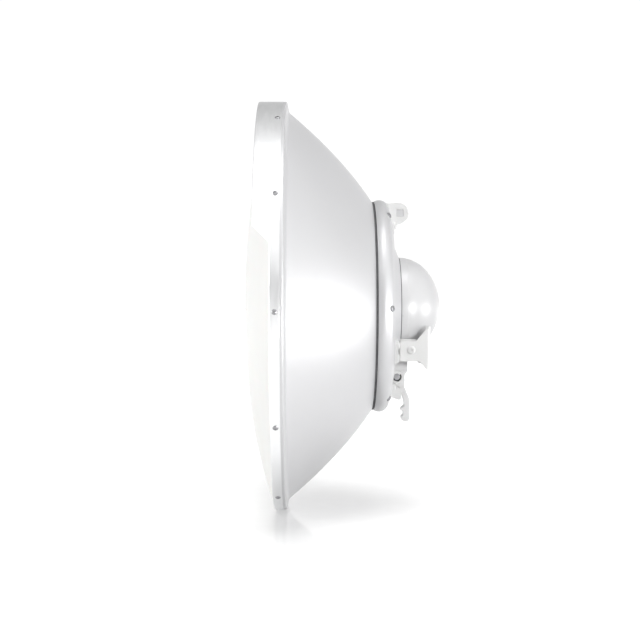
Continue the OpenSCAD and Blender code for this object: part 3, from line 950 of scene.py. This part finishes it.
@dataclass
class Reflector:
    """The dish, its shielding band and the rivets that hold the band.

    Attributes:
        focal_length: Focal length of the paraboloid.
        vertex: Where the paraboloid would meet the axis, along X.
        wall: Thickness of the dish.
        bead: Radius of the rounded corner at the back of the rim.
        band_wall: Thickness of the band.
        hole: Radius of the hole for the socket.
        land: Radius of the flat seat round the hole.
        curve_end: Radius where the paraboloid ends.
        flange_drop: How far the rim's flange lies in front of the paraboloid's end.
        lip_step: How far the rim's front lip lies inside the rim.
        step_high: Height above the axis where the band's slanted cut starts.
    """

    focal_length: float = 90.1 * MM
    vertex: float = -25.0 * MM
    wall: float = 2.0 * MM
    bead: float = 3.1 * MM
    band_wall: float = 1.8 * MM
    hole: float = 40.0 * MM
    land: float = 56.0 * MM
    curve_end: float = 217.0 * MM
    flange_drop: float = 1.4 * MM
    lip_step: float = 1.9 * MM
    step_high: float = 84.0 * MM

    def depth(self, radius: float) -> float:
        """X of the paraboloid's outer face at a radius."""
        return self.vertex - radius**2 / (4 * self.focal_length)

    def dish_outline(self) -> list[Point]:
        """Closed section of the dish, from the socket's hole to the rim and back."""
        low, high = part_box("reflector_dish")
        rim, front, seat = (high[2] - low[2]) / 2, low[0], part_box("rim_band")[1][0]
        flange = self.depth(self.curve_end) - self.flange_drop
        steps = 90
        radii = [self.land + (self.curve_end - self.land) * i / steps for i in range(1, steps)]
        corners = [
            (self.curve_end, self.depth(self.curve_end), 1.5 * MM),
            (self.curve_end + 2 * MM, flange, 1.5 * MM),
            (rim, flange - self.lip_step, self.bead),
        ]
        path: list[Point] = [(self.hole, high[0])]
        path += fillet(path[0], (self.land, high[0]), (radii[3], self.depth(radii[3])), 3 * MM)
        path += [(r, self.depth(r)) for r in radii[3:]]
        ends = [(radii[-1], self.depth(radii[-1]))] + [(c[0], c[1]) for c in corners] + [(rim, seat)]
        for i, corner in enumerate(corners):
            path += fillet(ends[i], ends[i + 1], ends[i + 2], corner[2])
        path.append((rim, seat - 0.1 * MM))
        lip, inner_flange = rim - self.lip_step, flange - 4 * MM
        inner_lip = lip - self.wall
        back = sheet_outline([(r, self.depth(r)) for r in radii], self.wall)[len(radii):]
        path += [(lip, seat - 0.1 * MM), (lip, front), (inner_lip, front), (inner_lip, inner_flange)]
        path.append((self.curve_end + 1 * MM, inner_flange))
        return path + back + [(self.hole, high[0] - self.wall)]

    def build_dish(self, shop: Workshop) -> bpy.types.Object:
        """Turns the dish."""
        return shop.fit(lathe("dish_skin", self.dish_outline(), shop.axis, 288), "reflector_dish")

    def build_band(self, shop: Workshop) -> bpy.types.Object:
        """Bends the band, deep over the top and stepped back by a slanted cut on each side."""
        low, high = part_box("rim_band")
        radius, rear, visor = (high[2] - low[2]) / 2, high[0], low[0]
        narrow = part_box("reflector_dish")[0][0] - 1.5 * MM
        cut_low = self.step_high - (narrow - visor)
        breaks = [math.asin(z / radius) for z in (cut_low, self.step_high)]
        marks = breaks + [math.pi - a for a in breaks]
        turns = sorted({round(2 * math.pi * i / 360, 6) for i in range(360)} | {round(m, 6) for m in marks})
        shape = bmesh.new()
        rings = []
        edge = self.band_wall / 2
        for turn in turns:
            height = radius * math.sin(turn)
            share = min(1.0, max(0.0, (height - cut_low) / (self.step_high - cut_low)))
            front = narrow + (visor - narrow) * share
            hem = arc((radius - edge, front + edge), edge, 0, -180)
            back = [(radius - self.band_wall, rear), (radius - 0.25 * MM, rear), (radius, rear - 0.25 * MM)]
            bend = front + 4 * edge
            section = back + [(radius, bend)] + hem + [(radius - self.band_wall, bend)]
            rings.append([shape.verts.new((x, -r * math.cos(turn), r * math.sin(turn))) for r, x in section])
        for first, second in zip(rings, rings[1:] + rings[:1]):
            for i in range(len(first)):
                j = (i + 1) % len(first)
                shape.faces.new((first[i], first[j], second[j], second[i]))
        shape.transform(shop.axis)
        return shop.fit(to_object("band_strip", shape), "rim_band")

    def build_rivets(self, shop: Workshop) -> bpy.types.Object:
        """Sets the blind rivets, with the hollow that the broken mandrel leaves."""
        rivet = Screw(2.9 * MM, 1.3 * MM, 1.6 * MM, 1.05 * MM, 0.9 * MM, Recess.ROUND)
        return FastenerSet("rim_rivets", rivet, shop.radial).build(shop)

    def build(self, shop: Workshop) -> None:
        """Builds the whole reflector."""
        self.build_dish(shop)
        self.build_band(shop)
        self.build_rivets(shop)


@dataclass
class Cover:
    """The domed cover in front of the dish.

    Attributes:
        wall: Thickness of the cover.
        fullness: Power of the bulge's curve.
        edge: Radius of the rounding where the bulge meets its skirt.
        skirt: Depth of the skirt.
    """

    wall: float = 2.5 * MM
    fullness: float = 2.6
    edge: float = 1.2 * MM
    skirt: float = 9.4 * MM

    def build(self, shop: Workshop) -> None:
        """Turns the cover and keeps its gasket."""
        low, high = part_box("radome")
        radius, apex, back = (high[2] - low[2]) / 2, low[0], high[0]
        front = back - self.skirt
        rise = front - apex
        steps = 72
        shares = [(i / steps) ** 0.8 for i in range(steps + 1)]
        outer = [(s * radius, front - rise * (1 - s**self.fullness)) for s in shares]
        bend = fillet(outer[-2], outer[-1], (radius, back), self.edge)
        inner_radius = radius - self.wall
        inner = [(s * inner_radius, x + self.wall) for s, (_, x) in zip(shares, outer)]
        outline = outer[:-1] + bend + [(radius, back), (inner_radius, back)] + inner[::-1]
        shop.fit(lathe("cover_shell", outline, shop.axis, 256), "radome")
        shop.keep("radome_gasket")


# ------------------------------------------------------------------ the hub


@dataclass
class HubRing:
    """The stiffening ring behind the dish, with its bead, screws and nuts.

    Attributes:
        wall: Thickness of the ring.
        bulge: Radius of the ring's rolled outer edge.
        flat: Radius where the flat face ends.
        bore: Radius of the ring's inner edge.
        lip: Angle at which the rolled edge stops, in degrees.
        screw_angle: Where on the roll the screws sit, in degrees.
        seat: Depth of the flat under each screw.
    """

    wall: float = 2.2 * MM
    bulge: float = 10.5 * MM
    flat: float = 100.0 * MM
    bore: float = 79.0 * MM
    lip: float = -35.0
    screw_angle: float = 55.0
    seat: float = 0.5 * MM

    def outward(self, shop: Workshop, at: Vector) -> Vector:
        """Out of the roll at a screw's place."""
        tilt = math.radians(self.screw_angle)
        return shop.radial(at) * math.cos(tilt) + BACKWARD * math.sin(tilt)

    def build_ring(self, shop: Workshop) -> bpy.types.Object:
        """Turns the ring and cuts a flat seat under each screw."""
        low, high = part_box("hub_ring")
        radius, face = (high[2] - low[2]) / 2, high[0]
        centre = (radius - self.bulge, face - 13.5 * MM)
        neck = (centre[0], face - 3 * MM)
        path = arc(centre, self.bulge, self.lip, 78, 30) + [neck]
        path += fillet(neck, (self.flat, face), (self.bore, face), 9 * MM, 10)
        path += [(self.bore + 0.4 * MM, face), (self.bore, face - 0.5 * MM), (self.bore, face - 1.1 * MM)]
        inner = arc(centre, self.bulge - self.wall, 84, self.lip, 30)
        inner_face = face - self.wall
        outline = path + [(self.bore, inner_face), (self.flat - 1 * MM, inner_face)] + inner
        ring = lathe("ring_pressing", outline, shop.axis, 288)
        cutter = [(0.0, 0.0), (3.5 * MM, 0.0), (3.5 * MM, 3 * MM), (0.0, 3 * MM)]
        for points in shop.solids("hub_ring_screws"):
            radial, out = shop.radial(middle_of(points)), self.outward(shop, middle_of(points))
            root = shop.axis @ Vector((centre[1], 0.0, 0.0)) + radial * centre[0]
            place = facing(root + out * (self.bulge - self.seat), out)
            combine(ring, lathe("seat", cutter, place, 48), Change.CUT)
        return shop.fit(ring, "hub_ring")

    def build_bead_and_gap_shadow(self, shop: Workshop) -> bpy.types.Object:
        """Turns the dark rubber bead that seals the ring's lip to the dish; it is also a painted shadow, its
        dark ring standing in for the shade in the gap between the ring and the dish.
        """
        low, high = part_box("hub_ring_bead")
        outer, back = (high[2] - low[2]) / 2, high[0]
        inner = outer - 5 * MM
        outline = rounded([
            (inner, back - 9 * MM, 0.3 * MM),
            (outer, back - 9.5 * MM, 1.2 * MM),
            (outer, back - 5 * MM, 0.8 * MM),
            (outer - 2.2 * MM, back - 4 * MM, 0.6 * MM),
            (inner + 2 * MM, back, 0.5 * MM),
            (inner, back, 0.3 * MM),
        ])
        return shop.fit(lathe("bead_seal", outline, shop.axis, 192), "hub_ring_bead")

    def build_screws(self, shop: Workshop) -> bpy.types.Object:
        """Drives the screws that hold the ring to the dish."""
        screw = Screw(3.3 * MM, 2.2 * MM, 1.75 * MM, 1.5 * MM, 1.3 * MM, thread_pitch=0.7 * MM)
        return FastenerSet("hub_ring_screws", screw, lambda at: self.outward(shop, at)).build(shop)

    def build(self, shop: Workshop) -> None:
        """Builds the ring and what holds it."""
        self.build_ring(shop)
        self.build_bead_and_gap_shadow(shop)
        self.build_screws(shop)
        for node in ("ring_anchors", "clinch_nuts"):
            shop.keep(node)


# ------------------------------------------------------------------ the radio


@dataclass
class Radio:
    """The rear dome with its port, and the radio inside.

    Attributes:
        wall: Thickness of the dome.
        rise: Depth of the dome's rounded part.
        skirt_step: How far the skirt stands out from the rest.
        skirt_depth: Depth of the skirt.
        port_wall: Thickness of the port housing.
        port_x: Where the port housing starts and ends, along X.
        port_half: Half the port housing's width.
        port_floor: How far the port housing's floor is below the axis.
        port_root: How far below the axis the port housing meets the dome.
        notch_drop: How far below the axis the two pry notches start and end.
    """

    wall: float = 2.5 * MM
    rise: float = 44.9 * MM
    skirt_step: float = 0.35 * MM
    skirt_depth: float = 7.5 * MM
    port_wall: float = 1.8 * MM
    port_x: Point = (-22.5 * MM, -7.5 * MM)
    port_half: float = 19.0 * MM
    port_floor: float = 56.0 * MM
    port_root: float = 34.0 * MM
    notch_drop: Point = (12.1 * MM, 8.9 * MM)

    def dome_curve(self, radius: float, centre: float, shrink: float, steps: int = 60) -> list[Point]:
        """Points along the rounded part, from its base to its tip."""
        width, rise = radius - shrink, self.rise - shrink
        angles = [math.pi / 2 * i / steps for i in range(steps + 1)]
        return [(width * math.cos(a), centre + rise * math.sin(a)) for a in angles]

    def dome_core(self, shop: Workshop, name: str, shrink: float, start: float) -> bpy.types.Object:
        """Solid of the dome's outside, or of its inside where shrink is the wall."""
        low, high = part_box("rear_dome")
        radius, centre = (high[1] - low[1]) / 2, high[0] - self.rise
        curve = self.dome_curve(radius, centre, shrink)
        if shrink == 0:
            seam = low[0] + self.skirt_depth
            skirt = [p for p in curve if p[1] < seam]
            rest = [(max(0.0, r - self.skirt_step), x) for r, x in curve if x > seam + 0.5 * MM]
            curve = skirt + [(skirt[-1][0] - 0.05 * MM, seam), (rest[0][0], seam + 0.3 * MM)] + rest
        curve[-1] = (0.0, curve[-1][1])
        return lathe(name, [(0.0, start), (radius - shrink, start)] + curve, shop.axis, 160)

    def build_dome(self, shop: Workshop) -> bpy.types.Object:
        """Moulds the dome: outside with its port housing and catch, less the inside and the openings."""
        low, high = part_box("rear_dome")
        jack_low, jack_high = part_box("ethernet_jack")
        axis = shop.axis_height
        floor, wall = axis - self.port_floor, self.port_wall
        dome = self.dome_core(shop, "dome_shell", 0.0, low[0])

        def change(name: str, start: Sequence[float], end: Sequence[float], how: Change, edge: float) -> None:
            """Adds a block to the dome or cuts it away."""
            combine(dome, block(name, start, end, edge), how)

        port_low = (self.port_x[0], -self.port_half, floor)
        port_high = (self.port_x[1], self.port_half, axis - self.port_root)
        change("port_housing", port_low, port_high, Change.ADD, 1.2 * MM)
        catch_low = (low[0] + 0.1 * MM, -7 * MM, low[2])
        catch_high = (low[0] + 4.6 * MM, 7 * MM, low[2] + 7 * MM)
        change("catch", catch_low, catch_high, Change.ADD, 0.6 * MM)
        combine(dome, self.dome_core(shop, "inside", self.wall, low[0] - 1 * MM), Change.CUT)
        room_low = tuple(v + wall for v in port_low)
        room_high = (port_high[0] - wall, port_high[1] - wall, port_high[2] - 2 * MM)
        change("room", room_low, room_high, Change.CUT, 0.0)
        mouth_low = (jack_low[0] + 0.9 * MM, jack_low[1] + 1.6 * MM, floor - 2 * MM)
        mouth_high = (jack_high[0] - 1.3 * MM, jack_high[1] - 1.6 * MM, floor + 3 * MM)
        change("mouth", mouth_low, mouth_high, Change.CUT, 0.4 * MM)
        for node, extra in (("reset_button", 0.1 * MM), ("status_lights", 0.0)):
            for points in shop.solids(node):
                middle = middle_of(points)
                tip = min(p.z for p in points)
                radius = max(p.x for p in points if p.z < tip + 0.1 * MM) - middle.x + extra
                hole = [(0.0, -4 * MM), (radius, -4 * MM), (radius, 2 * MM), (0.0, 2 * MM)]
                place = facing(Vector((middle.x, middle.y, floor)), DOWNWARD)
                combine(dome, lathe("hole", hole, place, 32), Change.CUT)
        for side in Side:
            edge_y = side.value * (high[1] - low[1]) / 2
            notch_low = (low[0] - 1 * MM, edge_y - 1.1 * MM, axis - self.notch_drop[0])
            notch_high = (low[0] + 1.2 * MM, edge_y + 1.1 * MM, axis - self.notch_drop[1])
            change("notch", notch_low, notch_high, Change.CUT, 0.0)
        return shop.fit(dome, "rear_dome")

    def build_knuckles(self, shop: Workshop) -> bpy.types.Object:
        """Adds the two hinge knuckles that carry the port door's pin."""
        low, high = (Vector(corner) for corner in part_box("port_door_pin"))
        middle = (low + high) / 2
        inner, outer, bore, bevel = 0.75 * MM, 1.5 * MM, 2.6 * MM, 0.2 * MM
        ring = [
            (inner, 0.0), (outer - bevel, 0.0), (outer, bevel),
            (outer, bore - bevel), (outer - bevel, bore), (inner, bore),
        ]
        things = []
        for start in (low.x + 0.4 * MM, high.x - 0.4 * MM - bore):
            at = Vector((start, middle.y, middle.z))
            things.append(lathe("knuckle", ring, facing(at, BACKWARD), 32))
            root = (start, middle.y - 2.2 * MM, middle.z + 0.8 * MM)
            things.append(block("root", root, (start + bore, middle.y, middle.z + outer), 0.15 * MM))
        return shop.add(join("door_knuckles", things), "rear_dome")

    def build_vent(self, shop: Workshop) -> bpy.types.Object:
        """Moulds the breather vent, with a round cap on a narrow neck."""
        points = shop.solids("breather_vent")[0]
        middle = middle_of(points)
        out = shop.radial(middle)
        depth = 2.6 * MM
        top = max(p.dot(out) for p in points)
        seat = middle - out * middle.dot(out) + out * (top - depth)
        outline = [
            (0.0, 0.0), (3.0 * MM, 0.0), (3.0 * MM, 1.4 * MM), (2.4 * MM, 1.5 * MM), (2.4 * MM, 1.9 * MM),
            (3.2 * MM, 2.0 * MM), (3.2 * MM, 2.4 * MM), (2.9 * MM, depth), (0.0, depth),
        ]
        return shop.fit(lathe("vent_cap", outline, facing(seat, out), 40), "breather_vent")

    def build(self, shop: Workshop) -> None:
        """Builds the dome and dresses what is inside it."""
        self.build_dome(shop)
        self.build_knuckles(shop)
        self.build_vent(shop)
        low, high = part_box("dome_gasket")
        radius = (high[2] - low[2]) / 2
        inner = radius - 2.8 * MM
        seal = rounded([
            (inner, low[0], 0.1 * MM), (radius, low[0], 0.3 * MM),
            (radius, high[0], 0.3 * MM), (inner, high[0], 0.1 * MM),
        ])
        shop.fit(lathe("dome_seal", seal, shop.axis, 160), "dome_gasket")
        shop.refine("port_door", 0.35 * MM)
        shop.refine("ethernet_jack", 0.2 * MM)
        screw = Screw(3.0 * MM, 2.4 * MM, 1.5 * MM, 1.4 * MM, 1.3 * MM)
        FastenerSet("ground_screw", screw, shop.radial).build(shop)
        for node in (
            "reset_button", "status_lights", "port_door_pin", "radio_socket", "socket_screws",
            "orthomode_block", "radio_chassis", "board_standoffs", "main_board", "board_screws",
            "shield_can", "heat_sink", "reset_switch",
        ):
            shop.keep(node)


@dataclass
class Feed:
    """The feed tube, its dielectric cone and the small reflector in front of it.

    Attributes:
        edge: Rounding of each piece's edges.
    """

    edge: float = 0.4 * MM

    def build(self, shop: Workshop) -> None:
        """Rounds the edges of each piece."""
        for node in ("feed_tube", "feed_cone", "sub_reflector"):
            shop.refine(node, self.edge)


# ------------------------------------------------------------------ brackets and latch


@dataclass
class Brackets:
    """The pole bracket, the tilt lugs, the upper lug and their fasteners.

    Attributes:
        edge: Rounding of the sheet's edges.
    """

    edge: float = 0.6 * MM

    def build(self, shop: Workshop) -> None:
        """Builds the brackets and drives their fasteners."""
        for node in ("pole_bracket", "tilt_lug_left", "tilt_lug_right", "upper_lug", "hole_plugs"):
            shop.refine(node, self.edge)
        FastenerSet("lug_screws", m5_screw(4.4 * MM), backward).build(shop)
        FastenerSet("upper_lug_screws", m5_screw(4.2 * MM), backward).build(shop)
        bolt = Screw(4.6 * MM, 2.4 * MM, 3.0 * MM, 2.3 * MM, 1.5 * MM)
        FastenerSet("pivot_bolts", bolt, lambda at: Vector((0.0, at.y, 0.0))).build(shop)
        for node in ("pivot_nuts", "pivot_washers"):
            shop.refine(node, 0.3 * MM)


@dataclass
class Latch:
    """The sprung release lever and the bracket that carries it.

    Attributes:
        wire_radius: Radius of the spring's wire.
        coil_radius: Radius of each coil.
        turns: Turns in each coil.
        steps: Points to each turn.
    """

    wire_radius: float = 0.8 * MM
    coil_radius: float = 4.5 * MM
    turns: int = 2
    steps: int = 28

    def spring_line(self, side: Side, pivot: Vector, first_y: float) -> list[Vector]:
        """Centre line of one spring: a long leg on the lever, the coil, and a short leg on the bracket.

        Args:
            side: The flank that the spring is on.
            pivot: Middle of the latch's pin.
            first_y: How far from the middle the coil starts.

        Returns:
            The points of the line.
        """
        pitch = 2 * self.wire_radius * 1.03
        run = []
        for i in range(self.turns * self.steps + 1):
            a = 2 * math.pi * i / self.steps + math.radians(200)
            y = side.value * (first_y + pitch * i / self.steps)
            run.append(pivot + Vector((self.coil_radius * math.cos(a), y, self.coil_radius * math.sin(a))))
        leg_way, tail_way = Vector((0.883, 0.0, -0.469)) * 12 * MM, Vector((-0.3, 0.0, -1.0)) * 4 * MM
        leg = [run[0] + leg_way * k / 4 for k in range(4, 0, -1)]
        tail = [run[-1] + tail_way * k / 4 for k in range(1, 5)]
        return leg + run + tail

    def build_springs(self, shop: Workshop) -> bpy.types.Object:
        """Winds the two torsion springs, one on each side of the lever."""
        low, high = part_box("latch_pin")
        pivot = Vector(((low[0] + high[0]) / 2, 0.0, (low[2] + high[2]) / 2))
        first_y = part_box("latch_lever")[1][1] + 0.3 * MM + self.wire_radius
        lines = [self.spring_line(side, pivot, first_y) for side in Side]
        things = [wire("coil", line, self.wire_radius) for line in lines]
        return shop.fit(join("torsion_springs", things), "latch_spring")

    def build(self, shop: Workshop) -> None:
        """Builds the latch."""
        shop.refine("latch_bracket", 0.5 * MM)
        shop.refine("latch_lever", 0.7 * MM)
        self.build_springs(shop)
        FastenerSet("latch_bracket_screws", m5_screw(4.2 * MM), backward).build(shop)
        shop.refine("latch_pin", 0.3 * MM)
        shop.refine("latch_pin_clips", 0.1 * MM)


# ------------------------------------------------------------------ the studio


@dataclass(frozen=True)
class SoftLight:
    """A flat soft light aimed at the dish.

    Attributes:
        name: The light's name.
        azimuth: Degrees to the right of the camera, seen from the object.
        elevation: Degrees above the object.
        distance: Distance from the object.
        size: Width and height.
        watts: Power.
        reach: Words in the names of the only things it lights, or none where it lights everything.
    """

    name: str
    azimuth: float
    elevation: float
    distance: float
    size: tuple[float, float]
    watts: float
    reach: tuple[str, ...] = ()

    def build(self, aim: Vector) -> None:
        """Hangs the light."""
        data = bpy.data.lights.new(self.name, "AREA")
        data.shape = "RECTANGLE"
        data.size, data.size_y = self.size
        data.energy = self.watts
        lamp = bpy.data.objects.new(self.name, data)
        turn, lift = math.radians(self.azimuth), math.radians(self.elevation)
        way = Vector((math.sin(turn) * math.cos(lift), -math.cos(turn) * math.cos(lift), math.sin(lift)))
        lamp.location = aim + way * self.distance
        lamp.rotation_euler = (-way).to_track_quat("-Z", "Y").to_euler()
        bpy.context.scene.collection.objects.link(lamp)
        if self.reach:
            lit = bpy.data.collections.new(self.name + "_reach")
            for thing in bpy.context.scene.objects:
                if thing.type == "MESH" and any(word in thing.name for word in self.reach):
                    lit.objects.link(thing)
            lamp.light_linking.receiver_collection = lit


@dataclass(frozen=True)
class Surroundings:
    """White room whose panels are seen only in reflections.

    Attributes:
        ambient: Strength of the plain light on dull surfaces.
        backdrop: Strength of the white that the camera sees behind the object.
        panels: (angle, strength) round the X axis: 0 is level behind the camera, 90 is overhead.
    """

    ambient: float = 0.46
    backdrop: float = 1.05
    panels: tuple[tuple[float, float], ...] = (
        (-180, 1.0), (-160, 0.9), (-130, 0.55), (-100, 0.7), (-60, 0.95), (-30, 1.2), (-20, 1.1), (-11, 0.5),
        (8, 0.40), (18, 0.6), (28, 1.25), (50, 1.4), (70, 1.2), (98, 0.9), (129, 0.62), (150, 0.5),
        (166, 0.9), (180, 1.0),
    )

    def build(self) -> None:
        """Builds the world."""
        world = bpy.data.worlds.new("studio")
        bpy.context.scene.world = world
        world.use_nodes = True
        world.node_tree.nodes.clear()
        nodes = Nodes(world.node_tree)
        way = nodes.add("SeparateXYZ", {0: nodes.add("TexCoord").outputs["Generated"]}).outputs
        front = nodes.add("Math", {0: way["Y"], 1: -1.0}, operation="MULTIPLY").outputs[0]
        angle = nodes.add("Math", {0: way["Z"], 1: front}, operation="ARCTAN2").outputs[0]
        turn = {"Value": angle, "From Min": -math.pi, "From Max": math.pi}
        ramp = nodes.add("ValToRGB", {"Fac": nodes.add("MapRange", turn).outputs["Result"]})
        peak = max(strength for _, strength in self.panels)
        levels = [(place, (strength / peak,) * 3 + (1.0,)) for place, strength in self.panels]
        ends = ramp.color_ramp.elements
        for place, level in levels[1:-1]:
            ends.new((place + 180) / 360).color = level
        ends[0].color, ends[len(ends) - 1].color = levels[0][1], levels[-1][1]
        white = (1.0, 1.0, 1.0, 1.0)
        shiny = nodes.add("Background", {"Color": ramp.outputs["Color"], "Strength": peak}).outputs[0]
        dull = nodes.add("Background", {"Color": white, "Strength": self.ambient}).outputs[0]
        seen = nodes.add("Background", {"Color": white, "Strength": self.backdrop}).outputs[0]
        path = nodes.add("LightPath").outputs
        lit = nodes.add("MixShader", {"Fac": path["Is Glossy Ray"], 1: dull, 2: shiny}).outputs[0]
        whole = nodes.add("MixShader", {"Fac": path["Is Camera Ray"], 1: lit, 2: seen}).outputs[0]
        nodes.add("OutputWorld", {"Surface": whole})


@dataclass
class Studio:
    """The floor, the lights and the camera.

    Attributes:
        camera_place: Where the camera stands.
        camera_aim: What it looks at.
        lens: Its focal length, in millimetres.
        floor_half: Half the floor's width.
        aim: What the lights are turned to.
        lights: The lights.
    """

    camera_place: tuple[float, float, float] = (-0.1314, -1.380, 0.0925)
    camera_aim: tuple[float, float, float] = (-0.1222, 0.0, 0.0419)
    lens: float = 67.85
    floor_half: float = 8.0
    aim: tuple[float, float, float] = (-0.08, 0.0, 0.05)
    lights: tuple[SoftLight, ...] = (
        SoftLight("key_softbox", 36.0, -5.0, 2.2, (0.9, 0.4), 41.0),
        SoftLight("side_softbox", 84.0, -6.0, 2.2, (0.9, 0.4), 27.0),
        SoftLight("cover_softbox", -70.0, 5.0, 2.2, (1.2, 1.2), 32.0),
        SoftLight("floor_softbox", 0.0, 89.0, 1.9, (0.9, 2.2), 30.0, ("studio_floor",)),
        SoftLight("top_softbox", 20.0, 70.0, 2.0, (1.2, 0.8), 13.0),
    )

    def build_floor(self) -> None:
        """Lays the pale floor that the rim stands on."""
        half, level = self.floor_half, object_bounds()[0][2]
        corners = ((-half, -half), (half, -half), (half, half), (-half, half))
        shape = bmesh.new()
        shape.faces.new([shape.verts.new((u, v, level)) for u, v in corners])
        floor = to_object("studio_floor", shape)
        floor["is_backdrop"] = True
        floor.visible_diffuse = False
        s = Shader("floor_white")
        grain = s.noise(40, 3)
        away = s.add("VectorMath", {0: s.place()}, operation="LENGTH").outputs["Value"]
        glow = {"Value": away, "From Min": 0.7, "From Max": 2.4, "To Min": 0.18, "To Max": 0.9}
        s.set(
            Base_Color=s.blend(grain, (0.80, 0.80, 0.80), (0.82, 0.82, 0.82)),
            Roughness=s.between(grain, 0.025, 0.04),
            IOR=1.36,
            Emission_Color=(1.0, 1.0, 1.0, 1.0),
            Emission_Strength=s.add("MapRange", glow).outputs["Result"],
        )
        floor.data.materials.append(s.material)

    def build_camera(self) -> None:
        """Sets up the camera, level with the dish and square to its side."""
        data = bpy.data.cameras.new("camera")
        data.lens = self.lens
        data.sensor_width = 36.0
        camera = bpy.data.objects.new("camera", data)
        camera.location = self.camera_place
        aim = Vector(self.camera_aim) - Vector(self.camera_place)
        camera.rotation_euler = aim.to_track_quat("-Z", "Y").to_euler()
        bpy.context.scene.collection.objects.link(camera)
        bpy.context.scene.camera = camera

    def build(self) -> None:
        """Builds the studio."""
        bpy.context.scene.view_settings.view_transform = "Standard"
        self.build_floor()
        self.build_camera()
        Surroundings().build()
        for light in self.lights:
            light.build(Vector(self.aim))


def main() -> None:
    """Builds every sub-assembly around the CAD frame, then the studio."""
    logging.basicConfig(level=logging.INFO, format="%(message)s")
    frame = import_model()
    shop = Workshop(frame)
    for assembly in (Reflector(), Cover(), HubRing(), Feed(), Radio(), Brackets(), Latch()):
        assembly.build(shop)
    Studio().build()
    LOG.info("%d pieces made", len(shop.made))


if __name__ == "__main__":
    main()
